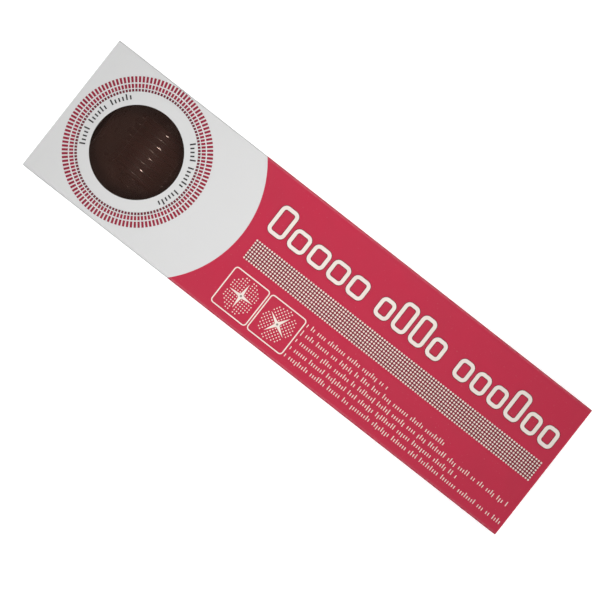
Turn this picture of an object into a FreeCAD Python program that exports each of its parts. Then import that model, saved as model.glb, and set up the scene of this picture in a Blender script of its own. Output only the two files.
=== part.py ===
import FreeCAD, Part
import math
import os

import Sketcher

# A boxed derma roller: a windowed tuck-end carton with a hinged storage case inside it,
# and the needle roller lying in the case. Millimetres, +Z up.
# The carton lies on its back panel, X runs along its length, and the origin is the middle
# of the face that it rests on.

os.makedirs("parts", exist_ok=True)

SIZES = {
    # carton
    "carton_length": 190,
    "carton_width": 50,
    "carton_depth": 40,
    "board": 0.45,
    "window_x": -68.9,
    "window_y": 0.3,
    "window_radius": 15.1,
    "film_side": 38,
    "film_thickness": 0.2,
    "glue_flap_height": 13,
    "glue_flap_taper": 6,
    "glue_flap_end_gap": 6.5,
    # tuck ends
    "lid_side_gap": 0.5,
    "lid_top_gap": 0.35,
    "tongue_length": 10.5,
    "tongue_slope": 16,
    "tongue_root_gap": 0.15,
    "tongue_side_gap": 2,
    "tongue_corner": 5,
    "flap_gap": 0.3,
    "flap_reach": 20,
    "flap_bottom": 1,
    "flap_mitre": 42,
    "flap_top": 33.5,
    "flap_notch": 3,
    "flap_tip_drop": 4,
    # storage case
    "case_length": 156,
    "case_width": 41,
    "case_bottom": 0.6,
    "case_split": 18,
    "case_split_gap": 0.05,
    "case_top": 35.6,
    "case_wall": 1.6,
    "case_corner": 6,
    "case_edge": 2,
    "case_x": -6.3,
    "case_y": 2.4,
    "overlap": 0.2,
    "rib_thickness": 2,
    "rib_top": 14.5,
    "rib_notch_radius": 7.2,
    "front_rib_x": -25,
    "rear_rib_x": 45,
    "knuckle_radius": 2,
    "knuckle_bore": 0.85,
    "knuckle_offset": 2.2,
    "knuckle_length": 7.6,
    "knuckle_pitch": 8,
    "hinge_x": 45,
    "web_height": 1.5,
    "web_bite": 0.4,
    "hinge_pin_radius": 0.8,
    "tab_half_width": 7,
    "tab_thickness": 0.9,
    "tab_gap": 0.15,
    "tab_low": 13,
    "tab_high": 22,
    "tab_root": 2,
    # needle roller
    "drum_x": -65,
    "disc_pitch": 2.27,
    "disc_count": 8,
    "disc_thickness": 0.25,
    "point_count": 24,
    "point_tip_radius": 9.95,
    "point_root_radius": 8.6,
    "point_half_width": 0.42,
    "spacer_radius": 8.5,
    "hub_radius": 3,
    "hub_bore": 1.06,
    "drum_end": 9.3,
    "drum_cap_radius": 9,
    "drum_cap_edge": 0.4,
    # head and axle
    "axle_radius": 1,
    "axle_head_radius": 1.8,
    "axle_head": 0.5,
    "yoke_half_gap": 9.7,
    "yoke_half_width": 12.2,
    "yoke_half_height": 4,
    "yoke_tip": 4.5,
    "yoke_tip_round": 3.2,
    "yoke_bridge": 11.5,
    "yoke_shoulder": 14,
    "neck_start": 19.5,
    "neck_end": 23,
    "neck_half_width": 4.6,
    "tenon_radius": 2.8,
    "tenon_length": 8,
    # handle
    "ring_radius": 6,
    "ring_length": 2.5,
    "shell_wall": 1.6,
    "neck_station": 0,
    "neck_wide": 5.6,
    "neck_high": 5,
    "waist_station": 16,
    "waist_wide": 5.2,
    "waist_high": 4.7,
    "palm_station": 45,
    "palm_wide": 6.6,
    "palm_high": 6,
    "heel_station": 75,
    "heel_wide": 6.2,
    "heel_high": 5.5,
    "tail_station": 100,
    "tail_wide": 5.4,
    "tail_high": 4.9,
    "cap_middle": 2.6,
    "cap_length": 4,
    "cap_middle_scale": 0.86,
    "cap_end_scale": 0.5,
    "inlay_proud": 0.7,
    "inlay_start": 26,
    "inlay_length": 42,
    "inlay_width": 7,
}

doc = FreeCAD.newDocument("boxed_derma_roller")
sheet = doc.addObject("Spreadsheet::Sheet", "sizes")
for row, (alias, value) in enumerate(SIZES.items(), start=1):
    sheet.set(f"A{row}", alias)
    sheet.set(f"B{row}", str(value))
    sheet.setAlias(f"B{row}", alias)
doc.recompute()

EXPORTED = []
TOUCH = 1e-6  # lengths and volumes nearer than this count as equal

# Places that several pieces share, as expressions of the sheet's cells.
HALF_LENGTH = "sizes.carton_length / 2"
HALF_WIDTH = "sizes.carton_width / 2"
LID_TOP = "(sizes.carton_depth - sizes.board - sizes.lid_top_gap)"
PANEL_HALF = f"({HALF_LENGTH} - sizes.board - sizes.flap_gap)"
HINGE_Y = "(sizes.case_y - sizes.case_width / 2 - sizes.knuckle_offset)"
HANDLE_START = "(sizes.drum_x + sizes.neck_end + sizes.ring_length)"
AXIS_Z = "sizes.case_split"


def size(alias):
    """The value of one cell of the sheet."""
    return float(sheet.get(alias))


def origin_part(body, role):
    """One of a body's own planes or axes."""
    return next(f for f in body.Origin.OriginFeatures if f.Role == role)


def new_body(name):
    body = doc.addObject("PartDesign::Body", name)
    body.Label = name
    return body


def export(piece, name):
    """Name a finished sub-part and list it for writing."""
    piece.Label = name
    EXPORTED.append(piece)
    return piece


def place(piece, x="0", y="0", z="0"):
    """Bind a sub-part's position to the sheet."""
    for axis, expression in zip("xyz", (x, y, z)):
        piece.setExpression(f".Placement.Base.{axis}", expression)


def new_sketch(body, name, plane):
    sketch = body.newObject("Sketcher::SketchObject", name)
    sketch.AttachmentSupport = [(origin_part(body, plane), "")]
    sketch.MapMode = "FlatFace"
    return sketch


def bind(sketch, constraint, label, expression):
    index = sketch.addConstraint(constraint)
    sketch.renameConstraint(index, label)
    sketch.setExpression(f"Constraints.{label}", expression)


def polygon(sketch, corners):
    """A closed outline whose corners are pairs of expressions, in order."""
    count = len(corners)
    first = sketch.GeometryCount
    spots = [
        FreeCAD.Vector(math.cos(0.1 + math.tau * i / count), math.sin(0.1 + math.tau * i / count), 0)
        for i in range(count)
    ]
    for i in range(count):
        sketch.addGeometry(Part.LineSegment(spots[i], spots[(i + 1) % count]), False)
    for i in range(count):
        following = first + (i + 1) % count
        sketch.addConstraint(Sketcher.Constraint("Coincident", first + i, 2, following, 1))
    for i, (across, up) in enumerate(corners):
        edge = first + i
        start = spots[i]
        bind(sketch, Sketcher.Constraint("DistanceX", -1, 1, edge, 1, start.x), f"across{edge}", across)
        bind(sketch, Sketcher.Constraint("DistanceY", -1, 1, edge, 1, start.y), f"up{edge}", up)


def rectangle(sketch, low_x, low_y, high_x, high_y):
    polygon(sketch, [(low_x, low_y), (high_x, low_y), (high_x, high_y), (low_x, high_y)])


def circle(sketch, across, up, radius):
    edge = sketch.GeometryCount
    sketch.addGeometry(Part.Circle(FreeCAD.Vector(1, 1, 0), FreeCAD.Vector(0, 0, 1), 1), False)
    bind(sketch, Sketcher.Constraint("Radius", edge, 1), f"radius{edge}", radius)
    bind(sketch, Sketcher.Constraint("DistanceX", -1, 1, edge, 3, 1), f"across{edge}", across)
    bind(sketch, Sketcher.Constraint("DistanceY", -1, 1, edge, 3, 1), f"up{edge}", up)


def pad(body, name, sketch, length, both_ways=False, backwards=False):
    feature = body.newObject("PartDesign::Pad", name)
    feature.Profile = sketch
    feature.setExpression("Length", length)
    feature.Midplane = both_ways
    feature.Reversed = backwards
    doc.recompute()
    return feature


def pocket(body, name, sketch, length, both_ways=False, backwards=False):
    """Cut a sketch out of a body, and check that it took something away."""
    before = body.Shape.Volume
    feature = body.newObject("PartDesign::Pocket", name)
    feature.Profile = sketch
    feature.setExpression("Length", length)
    feature.Midplane = both_ways
    feature.Reversed = backwards
    doc.recompute()
    if body.Shape.Volume >= before - TOUCH:
        raise RuntimeError(f"{body.Name}.{name} cuts nothing")
    return feature


def round_edges(body, name, radius, wanted):
    """Fillet the edges of the body's tip that the test picks out."""
    tip = body.Tip
    picked = [f"Edge{i}" for i, edge in enumerate(tip.Shape.Edges, start=1) if wanted(edge)]
    fillet = body.newObject("PartDesign::Fillet", name)
    fillet.Base = (tip, picked)
    fillet.setExpression("Radius", radius)
    doc.recompute()
    return fillet


def edge_at(edge, level):
    """Whether an edge lies wholly at one height along Z."""
    return all(abs(vertex.Point.z - level) < TOUCH for vertex in edge.Vertexes)


def slab(name, plane, corners, thickness="sizes.board"):
    """A flat sheet piece: an outline on an origin plane, made as thick as the sheet."""
    body = new_body(name)
    sketch = new_sketch(body, f"{name}_outline", plane)
    polygon(sketch, corners)
    pad(body, f"{name}_pad", sketch, thickness)
    return export(body, name)


# ---------------------------------------------------------------- carton sleeve


def make_front_panel():
    body = new_body("front_panel")
    sketch = new_sketch(body, "front_panel_outline", "XY_Plane")
    rectangle(sketch, f"-{HALF_LENGTH}", f"-{HALF_WIDTH}", HALF_LENGTH, HALF_WIDTH)
    circle(sketch, "sizes.window_x", "sizes.window_y", "sizes.window_radius")
    pad(body, "front_panel_pad", sketch, "sizes.board")
    place(body, z="sizes.carton_depth - sizes.board")
    export(body, "front_panel")


def make_back_panel():
    corners = [(f"{a}{HALF_LENGTH}", f"{b}{HALF_WIDTH}") for a, b in ("--", ("", "-"), ("", ""), ("-", ""))]
    slab("back_panel", "XY_Plane", corners)


def make_side_panels():
    top = "sizes.carton_depth - sizes.board"
    corners = [
        (f"-{PANEL_HALF}", "sizes.board"),
        (PANEL_HALF, "sizes.board"),
        (PANEL_HALF, top),
        (f"-{PANEL_HALF}", top),
    ]
    upper = slab("upper_side_panel", "XZ_Plane", corners)
    place(upper, y=HALF_WIDTH)
    lower = slab("lower_side_panel", "XZ_Plane", corners)
    place(lower, y=f"sizes.board - {HALF_WIDTH}")


def make_glue_flap():
    """The strip of board glued inside the lower side panel, with tapered ends."""
    end = f"({HALF_LENGTH} - sizes.glue_flap_end_gap)"
    corners = [
        (f"-{end}", "sizes.board"),
        (end, "sizes.board"),
        (f"{end} - sizes.glue_flap_taper", "sizes.glue_flap_height"),
        (f"sizes.glue_flap_taper - {end}", "sizes.glue_flap_height"),
    ]
    flap = slab("glue_flap", "XZ_Plane", corners)
    place(flap, y=f"2 * sizes.board - {HALF_WIDTH}")


def make_window_film():
    half = "sizes.film_side / 2"
    corners = [(f"-{half}", f"-{half}"), (half, f"-{half}"), (half, half), (f"-{half}", half)]
    film = slab("window_film", "XY_Plane", corners, "sizes.film_thickness")
    place(
        film,
        x="sizes.window_x",
        y="sizes.window_y",
        z="sizes.carton_depth - sizes.board - sizes.film_thickness",
    )


# ---------------------------------------------------------------- tuck ends


def make_lid(end, side):
    """The end panel that stands on the back panel's edge; side is -1 or 1 along X."""
    half = f"({HALF_WIDTH} - sizes.lid_side_gap)"
    corners = [(f"-{half}", "sizes.board"), (half, "sizes.board"), (half, LID_TOP), (f"-{half}", LID_TOP)]
    lid = slab(f"{end}_lid", "YZ_Plane", corners)
    place(lid, x=f"-{HALF_LENGTH}" if side < 0 else f"{HALF_LENGTH} - sizes.board")


def make_tongue(end, side):
    """The tongue on the lid's free edge, sloping inwards under the front panel."""
    half = f"({HALF_WIDTH} - sizes.tongue_side_gap)"
    inward = "" if side < 0 else "-"
    start = f"{inward}sizes.tongue_root_gap"
    shoulder = f"{inward}(sizes.tongue_length - sizes.tongue_corner)"
    tip = f"{inward}sizes.tongue_length"
    corners = [
        (start, f"-{half}"),
        (shoulder, f"-{half}"),
        (tip, f"sizes.tongue_corner - {half}"),
        (tip, f"{half} - sizes.tongue_corner"),
        (shoulder, half),
        (start, half),
    ]
    body = new_body(f"{end}_tongue")
    sketch = new_sketch(body, f"{end}_tongue_outline", "XY_Plane")
    polygon(sketch, corners)
    pad(body, f"{end}_tongue_pad", sketch, "sizes.board", backwards=True)
    body.Placement = FreeCAD.Placement(FreeCAD.Vector(), FreeCAD.Rotation(FreeCAD.Vector(0, -side, 0), 1))
    body.setExpression(".Placement.Rotation.Angle", "sizes.tongue_slope")
    edge = f"({HALF_LENGTH} - sizes.board)"
    place(body, x=f"-{edge}" if side < 0 else edge, z=LID_TOP)
    export(body, f"{end}_tongue")


def make_dust_flap(end, side, level, way):
    """A flap on a side panel's end; way is 1 for the upper side panel, -1 for the lower."""
    root = "sizes.board"
    rise = "(sizes.flap_reach - sizes.board) * tan(sizes.flap_mitre * 1 deg)"
    outline = [
        (root, "sizes.flap_bottom"),
        ("sizes.flap_reach", f"sizes.flap_bottom + {rise}"),
        ("sizes.flap_reach", "sizes.flap_top - sizes.flap_tip_drop"),
        ("sizes.flap_reach - sizes.flap_notch", "sizes.flap_top"),
        (root, "sizes.flap_top"),
    ]
    sign = "" if way > 0 else "-"
    corners = [(f"{sign}({HALF_WIDTH} - ({reach}))", up) for reach, up in outline]
    flap = slab(f"{end}_{level}_dust_flap", "YZ_Plane", corners)
    place(flap, x=f"-{PANEL_HALF}" if side < 0 else f"{PANEL_HALF} - sizes.board")


# ---------------------------------------------------------------- storage case


def rounded_rectangle(sketch, half_across, half_up, corner):
    """A rectangle about the origin whose corners are arcs, with every size an expression.

    It is drawn roughly first, and its constraints then move it to size."""
    first = sketch.GeometryCount
    signs = ((1, 1), (-1, 1), (-1, -1), (1, -1))
    spots = []
    for index, (right, up) in enumerate(signs):
        round_one = Part.Circle(FreeCAD.Vector(3 * right, 3 * up, 0), FreeCAD.Vector(0, 0, 1), 1)
        start = index * math.pi / 2
        arc = Part.ArcOfCircle(round_one, start, start + math.pi / 2)
        spots.append((arc.StartPoint, arc.EndPoint))
        sketch.addGeometry(arc, False)
    for index, (right, up) in enumerate(signs):
        arc = first + index
        side = "" if right > 0 else "-"
        level = "" if up > 0 else "-"
        bind(sketch, Sketcher.Constraint("Radius", arc, 1), f"corner{arc}", corner)
        middle_x = f"{side}({half_across} - {corner})"
        middle_y = f"{level}({half_up} - {corner})"
        bind(sketch, Sketcher.Constraint("DistanceX", -1, 1, arc, 3, 3 * right), f"across{arc}", middle_x)
        bind(sketch, Sketcher.Constraint("DistanceY", -1, 1, arc, 3, 3 * up), f"up{arc}", middle_y)
        level_end, plumb_end = (1, 2) if index % 2 == 0 else (2, 1)
        sketch.addConstraint(Sketcher.Constraint("Horizontal", arc, 3, arc, level_end))
        sketch.addConstraint(Sketcher.Constraint("Vertical", arc, 3, arc, plumb_end))
    for index in range(4):
        following = (index + 1) % 4
        line = sketch.addGeometry(Part.LineSegment(spots[index][1], spots[following][0]), False)
        sketch.addConstraint(Sketcher.Constraint("Coincident", line, 1, first + index, 2))
        sketch.addConstraint(Sketcher.Constraint("Coincident", line, 2, first + following, 1))


def case_outline(sketch, inset):
    """The case's plan, drawn in by an inset, about the case's own middle."""
    rounded_rectangle(
        sketch,
        f"(sizes.case_length / 2 - {inset})",
        f"(sizes.case_width / 2 - {inset})",
        f"(sizes.case_corner - {inset})",
    )


def make_case_half(name, height, backwards):
    """A tray with rounded corners that opens at the case's split; it is made at the origin."""
    body = new_body(name)
    plan = new_sketch(body, f"{name}_plan", "XY_Plane")
    case_outline(plan, "0")
    pad(body, f"{name}_block", plan, height, backwards=backwards)
    box = body.Shape.optimalBoundingBox(True)
    outer = box.ZMin if backwards else box.ZMax
    round_edges(body, f"{name}_edge", "sizes.case_edge", lambda edge: edge_at(edge, outer))
    hollow = new_sketch(body, f"{name}_hollow_plan", "XY_Plane")
    case_outline(hollow, "sizes.case_wall")
    pocket(body, f"{name}_hollow", hollow, f"{height} - sizes.case_wall", backwards=not backwards)
    return body


def add_knuckles(body, name, first, upward):
    """Hinge knuckles and the webs that carry them, at both ends of the hinge side.

    The base and the lid have neighbouring knuckles: first is 0 or 1 along the hinge."""
    local_y = "(-sizes.case_width / 2 - sizes.knuckle_offset)"
    wall_y = "(sizes.web_bite - sizes.case_width / 2)"
    for end, sign in (("front", "-"), ("rear", "")):
        start = f"({sign}sizes.hinge_x + ({first} - 1) * sizes.knuckle_pitch)"
        web = new_sketch(body, f"{name}_{end}_web_plan", "XY_Plane")
        rectangle(web, start, local_y, f"{start} + sizes.knuckle_length", wall_y)
        pad(body, f"{name}_{end}_web", web, "sizes.web_height", backwards=not upward)
        barrel = new_sketch(body, f"{name}_{end}_knuckle_end", "YZ_Plane")
        shift = "-sizes.case_split_gap" if upward else "sizes.case_split_gap"
        barrel.setExpression(".AttachmentOffset.Base.z", start)
        circle(barrel, local_y, shift, "sizes.knuckle_radius")
        pad(body, f"{name}_{end}_knuckle", barrel, "sizes.knuckle_length")
        bore = new_sketch(body, f"{name}_{end}_bore_end", "YZ_Plane")
        bore.setExpression(".AttachmentOffset.Base.z", start)
        circle(bore, local_y, shift, "sizes.knuckle_bore")
        pocket(body, f"{name}_{end}_bore", bore, "sizes.knuckle_length", backwards=True)


def make_case_base():
    height = "(sizes.case_split - sizes.case_split_gap - sizes.case_bottom)"
    body = make_case_half("case_base", height, True)
    floor = f"(sizes.case_wall - {height})"
    inner = "(sizes.case_width / 2 - sizes.case_wall / 2)"
    for end in ("front", "rear"):
        middle = f"(sizes.{end}_rib_x - sizes.case_x)"
        rib = new_sketch(body, f"{end}_rib_face", "YZ_Plane")
        rib.setExpression(".AttachmentOffset.Base.z", middle)
        top = "(sizes.rib_top - sizes.case_split)"
        rectangle(rib, f"-{inner}", f"{floor} - sizes.overlap", inner, top)
        pad(body, f"{end}_rib", rib, "sizes.rib_thickness", both_ways=True)
        notch = new_sketch(body, f"{end}_notch_face", "YZ_Plane")
        notch.setExpression(".AttachmentOffset.Base.z", middle)
        circle(notch, "0", "0", "sizes.rib_notch_radius")
        pocket(body, f"{end}_notch", notch, "2 * sizes.rib_thickness", both_ways=True)
    add_knuckles(body, "case_base", 0, False)
    place(body, "sizes.case_x", "sizes.case_y", "sizes.case_split - sizes.case_split_gap")
    export(body, "case_base")


def make_case_lid():
    height = "(sizes.case_top - sizes.case_split - sizes.case_split_gap)"
    body = make_case_half("case_lid", height, False)
    tab = new_sketch(body, "thumb_tab_plan", "XY_Plane")
    face = "(sizes.case_width / 2 + sizes.tab_gap)"
    rectangle(tab, "-sizes.tab_half_width", face, "sizes.tab_half_width", f"{face} + sizes.tab_thickness")
    tab.setExpression(".AttachmentOffset.Base.z", "sizes.tab_low - sizes.case_split")
    pad(body, "thumb_tab", tab, "sizes.tab_high - sizes.tab_low")
    root = new_sketch(body, "tab_root_plan", "XY_Plane")
    wall = "sizes.case_width / 2 - sizes.overlap"
    rectangle(root, "-sizes.tab_half_width", wall, "sizes.tab_half_width", f"{face} + sizes.overlap")
    root.setExpression(".AttachmentOffset.Base.z", "sizes.tab_high - sizes.case_split - sizes.tab_root")
    pad(body, "tab_root", root, "sizes.tab_root")
    add_knuckles(body, "case_lid", 1, True)
    place(body, "sizes.case_x", "sizes.case_y", "sizes.case_split + sizes.case_split_gap")
    export(body, "case_lid")


def make_hinge_pins():
    """Two short steel pins, one through each pair of knuckles, in one node."""
    body = new_body("case_hinge_pins")
    for end, sign in (("front", "-"), ("rear", "")):
        start = f"({sign}sizes.hinge_x - sizes.knuckle_pitch)"
        sketch = new_sketch(body, f"{end}_pin_end", "YZ_Plane")
        sketch.setExpression(".AttachmentOffset.Base.z", start)
        circle(sketch, "0", "0", "sizes.hinge_pin_radius")
        pad(body, f"{end}_pin", sketch, "sizes.knuckle_pitch + sizes.knuckle_length")
    place(body, "sizes.case_x", HINGE_Y, "sizes.case_split")
    export(body, "case_hinge_pins")


# ---------------------------------------------------------------- needle drum


def drum_placement(body):
    place(body, "sizes.drum_x", "sizes.case_y", AXIS_Z)


def turned(name, outer, bore, low, high):
    """A ring about Y from one radius to another, between two heights along the axle."""
    body = new_body(name)
    sketch = new_sketch(body, f"{name}_section", "XY_Plane")
    rectangle(sketch, bore, low, outer, high)
    ring = body.newObject("PartDesign::Revolution", f"{name}_turn")
    ring.Profile = sketch
    ring.ReferenceAxis = (sketch, ["V_Axis"])
    ring.Angle = 360
    doc.recompute()
    return body


def repeat_along_axle(body, name, feature, count, length):
    pattern = body.newObject("PartDesign::LinearPattern", name)
    pattern.Originals = [feature]
    pattern.Direction = (origin_part(body, "Y_Axis"), [""])
    pattern.Mode = "Extent"
    pattern.setExpression("Length", length)
    pattern.setExpression("Occurrences", count)
    body.Tip = pattern
    doc.recompute()


def make_needle_discs():
    """Thin steel discs whose rims are cut into points, every second one turned half a point on."""
    body = new_body("needle_discs")
    body.AllowCompound = True
    half = "(asin(sizes.point_half_width / sizes.point_root_radius))"
    for index, name in enumerate(("first_disc", "second_disc")):
        sketch = new_sketch(body, f"{name}_face", "XZ_Plane")
        corners = []
        for i in range(int(size("point_count"))):
            turn = f"(({i} + {index} / 2 - 1 / 4) * 360 deg / sizes.point_count)"
            for radius, angle in (
                ("sizes.point_root_radius", f"({turn} - {half})"),
                ("sizes.point_tip_radius", turn),
                ("sizes.point_root_radius", f"({turn} + {half})"),
            ):
                corners.append((f"{radius} * cos({angle})", f"{radius} * sin({angle})"))
        polygon(sketch, corners)
        circle(sketch, "0", "0", "sizes.hub_radius")
        sketch.setExpression(
            ".AttachmentOffset.Base.z",
            f"((sizes.disc_count - 1) / 2 - {index}) * sizes.disc_pitch",
        )
        disc = pad(body, name, sketch, "sizes.disc_thickness", both_ways=True)
        repeat_along_axle(
            body,
            f"{name}_stack",
            disc,
            "sizes.disc_count / 2",
            "(sizes.disc_count - 2) * sizes.disc_pitch",
        )
    drum_placement(body)
    export(body, "needle_discs")


def make_spacer_rings():
    low = "(-(sizes.disc_count - 1) / 2 * sizes.disc_pitch + sizes.disc_thickness / 2)"
    high = f"({low} + sizes.disc_pitch - sizes.disc_thickness)"
    body = turned("spacer_rings", "sizes.spacer_radius", "sizes.hub_radius", low, high)
    body.AllowCompound = True
    repeat_along_axle(
        body,
        "spacer_stack",
        body.Tip,
        "sizes.disc_count - 1",
        "(sizes.disc_count - 2) * sizes.disc_pitch",
    )
    drum_placement(body)
    export(body, "spacer_rings")


def make_drum_caps():
    low = "((sizes.disc_count - 1) / 2 * sizes.disc_pitch + sizes.disc_thickness / 2)"
    for level, near, far in (("upper", low, "sizes.drum_end"), ("lower", "-sizes.drum_end", f"-{low}")):
        name = f"{level}_drum_cap"
        body = turned(name, "sizes.drum_cap_radius", "sizes.hub_radius", near, far)
        face = size("drum_end") if level == "upper" else -size("drum_end")
        rim = size("drum_cap_radius")
        round_edges(
            body,
            f"{name}_rim",
            "sizes.drum_cap_edge",
            lambda edge: abs(edge.BoundBox.YMin - face) < TOUCH
            and abs(edge.BoundBox.YMax - face) < TOUCH
            and abs(edge.BoundBox.XMax - rim) < 1e-3,
        )
        drum_placement(body)
        export(body, name)


def make_drum_hub():
    body = turned("drum_hub", "sizes.hub_radius", "sizes.hub_bore", "-sizes.drum_end", "sizes.drum_end")
    drum_placement(body)
    export(body, "drum_hub")


# ---------------------------------------------------------------- head and axle


def make_axle_pin():
    """A steel pin with a flat head outside each arm of the yoke."""
    body = turned("axle_pin", "sizes.axle_radius", "0", "-sizes.yoke_half_width", "sizes.yoke_half_width")
    reach = "sizes.yoke_half_width"
    heads = ((reach, f"{reach} + sizes.axle_head"), (f"-{reach} - sizes.axle_head", f"-{reach}"))
    for index, (low, high) in enumerate(heads):
        section = new_sketch(body, f"axle_head_section_{index}", "XY_Plane")
        rectangle(section, "0", low, "sizes.axle_head_radius", high)
        head = body.newObject("PartDesign::Revolution", f"axle_head_{index}")
        head.Profile = section
        head.ReferenceAxis = (section, ["V_Axis"])
        head.Angle = 360
        doc.recompute()
    drum_placement(body)
    export(body, "axle_pin")


def make_head_yoke():
    """The forked head: two arms beside the drum, a bridge, a neck and a tenon."""
    outline = [
        ("-sizes.yoke_tip", "sizes.yoke_half_gap"),
        ("-sizes.yoke_tip", "sizes.yoke_half_width"),
        ("sizes.yoke_shoulder", "sizes.yoke_half_width"),
        ("sizes.neck_start", "sizes.neck_half_width"),
        ("sizes.neck_end", "sizes.neck_half_width"),
    ]
    corners = outline + [(x, f"-{y}") for x, y in reversed(outline)]
    corners += [("sizes.yoke_bridge", "-sizes.yoke_half_gap"), ("sizes.yoke_bridge", "sizes.yoke_half_gap")]
    body = new_body("head_yoke")
    plan = new_sketch(body, "yoke_plan", "XY_Plane")
    polygon(plan, corners)
    pad(body, "yoke_block", plan, "2 * sizes.yoke_half_height", both_ways=True)
    tip = -size("yoke_tip")
    round_edges(
        body,
        "arm_tips",
        "sizes.yoke_tip_round",
        lambda edge: edge.BoundBox.YLength > 1
        and abs(edge.BoundBox.XMin - tip) < TOUCH
        and abs(edge.BoundBox.XMax - tip) < TOUCH,
    )
    tenon = new_sketch(body, "tenon_end", "YZ_Plane")
    tenon.setExpression(".AttachmentOffset.Base.z", "sizes.neck_end")
    circle(tenon, "0", "0", "sizes.tenon_radius")
    pad(body, "tenon", tenon, "sizes.tenon_length")
    bore = new_sketch(body, "axle_bore", "XZ_Plane")
    circle(bore, "0", "0", "sizes.axle_radius")
    pocket(body, "axle_hole", bore, "4 * sizes.yoke_half_width", both_ways=True)
    drum_placement(body)
    export(body, "head_yoke")


# ---------------------------------------------------------------- handle

STATIONS = ("neck", "waist", "palm", "heel", "tail")
HANDLE_STATIONS = [(f"sizes.{s}_station", f"sizes.{s}_wide", f"sizes.{s}_high") for s in STATIONS]


def oval_loft(name, stations):
    """A solid through upright ovals: each station is a place along X, a half width and a half height."""
    ovals = []
    for index, (along, wide, high) in enumerate(stations):
        oval = doc.addObject("Part::Ellipse", f"{name}_oval_{index}")
        oval.setExpression("MajorRadius", wide)
        oval.setExpression("MinorRadius", high)
        oval.Placement.Rotation = FreeCAD.Rotation(FreeCAD.Vector(1, 1, 1), 120)
        place(oval, f"{HANDLE_START} + {along}", "sizes.case_y", AXIS_Z)
        ovals.append(oval)
    loft = doc.addObject("Part::Loft", f"{name}_loft")
    loft.Sections = ovals
    loft.Solid = True
    doc.recompute()
    return loft


def half_space(name, above):
    """A box that holds the handle's upper or lower half."""
    box = doc.addObject("Part::Box", name)
    box.setExpression("Length", "sizes.tail_station")
    box.setExpression("Width", "4 * sizes.palm_wide")
    box.setExpression("Height", "2 * sizes.palm_high")
    low = AXIS_Z if above else f"{AXIS_Z} - 2 * sizes.palm_high"
    place(box, HANDLE_START, "sizes.case_y - 2 * sizes.palm_wide", low)
    return box


def combine(kind, name, first, second):
    result = doc.addObject(kind, name)
    result.Base = first
    result.Tool = second
    doc.recompute()
    return result


def make_handle():
    outer = oval_loft("handle_outside", HANDLE_STATIONS)
    inner_stations = [(s, f"{w} - sizes.shell_wall", f"{t} - sizes.shell_wall") for s, w, t in HANDLE_STATIONS]
    inner = oval_loft("handle_inside", inner_stations)
    wall = combine("Part::Cut", "handle_wall", outer, inner)
    for level, above in (("top", True), ("bottom", False)):
        half = half_space(f"{level}_half_space", above)
        shell = doc.addObject("Part::MultiCommon", f"handle_{level}_shell")
        shell.Shapes = [wall, half]
        doc.recompute()
        export(shell, f"handle_{level}_shell")
    proud = [(s, f"{w} + sizes.inlay_proud", f"{t} + sizes.inlay_proud") for s, w, t in HANDLE_STATIONS]
    skin = combine("Part::Cut", "inlay_skin", oval_loft("inlay_outside", proud), outer)
    patch = doc.addObject("Part::Box", "inlay_patch")
    patch.setExpression("Length", "sizes.inlay_length")
    patch.setExpression("Width", "sizes.inlay_width")
    patch.setExpression("Height", "2 * sizes.palm_high")
    place(patch, f"{HANDLE_START} + sizes.inlay_start", "sizes.case_y - sizes.inlay_width / 2", AXIS_Z)
    inlay = doc.addObject("Part::MultiCommon", "grip_inlay")
    inlay.Shapes = [skin, patch]
    doc.recompute()
    export(inlay, "grip_inlay")


def make_handle_ring():
    body = new_body("handle_ring")
    sketch = new_sketch(body, "ring_face", "YZ_Plane")
    circle(sketch, "0", "0", "sizes.ring_radius")
    circle(sketch, "0", "0", "sizes.tenon_radius")
    pad(body, "ring_pad", sketch, "sizes.ring_length")
    place(body, "sizes.drum_x + sizes.neck_end", "sizes.case_y", AXIS_Z)
    export(body, "handle_ring")


def make_end_cap():
    tail = "sizes.tail_station"
    stations = [
        (tail, "sizes.tail_wide", "sizes.tail_high"),
        (
            f"{tail} + sizes.cap_middle",
            "sizes.tail_wide * sizes.cap_middle_scale",
            "sizes.tail_high * sizes.cap_middle_scale",
        ),
        (
            f"{tail} + sizes.cap_length",
            "sizes.tail_wide * sizes.cap_end_scale",
            "sizes.tail_high * sizes.cap_end_scale",
        ),
    ]
    export(oval_loft("end_cap", stations), "end_cap")


# ---------------------------------------------------------------- assembly


def check_document():
    """Stop if any object failed, or if a sub-part has no sound solid."""
    doc.recompute()
    for thing in doc.Objects:
        failed = [state for state in thing.State if state in ("Invalid", "Error")]
        if failed:
            raise RuntimeError(f"{thing.Name} is {failed}")
    for piece in EXPORTED:
        shape = piece.Shape
        if shape.isNull() or not shape.isValid() or not shape.Solids:
            raise RuntimeError(f"{piece.Label} has no sound solid")


def write_parts():
    for piece in EXPORTED:
        piece.Shape.exportStep(f"parts/{piece.Label}.step")
        box = piece.Shape.optimalBoundingBox(True)
        low = (round(box.XMin, 2), round(box.YMin, 2), round(box.ZMin, 2))
        high = (round(box.XMax, 2), round(box.YMax, 2), round(box.ZMax, 2))
        print(f"{piece.Label:32} {piece.Shape.Volume:10.1f} mm3 {len(piece.Shape.Solids)} solids {low} {high}")


def main():
    make_front_panel()
    make_back_panel()
    make_side_panels()
    make_glue_flap()
    make_window_film()
    for end, side in (("window_end", -1), ("plain_end", 1)):
        make_lid(end, side)
        make_tongue(end, side)
        make_dust_flap(end, side, "upper", 1)
        make_dust_flap(end, side, "lower", -1)
    make_case_base()
    make_case_lid()
    make_hinge_pins()
    make_drum_hub()
    make_needle_discs()
    make_spacer_rings()
    make_drum_caps()
    make_axle_pin()
    make_head_yoke()
    make_handle()
    make_handle_ring()
    make_end_cap()
    check_document()
    write_parts()


main()
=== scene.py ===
import math
import random

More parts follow.
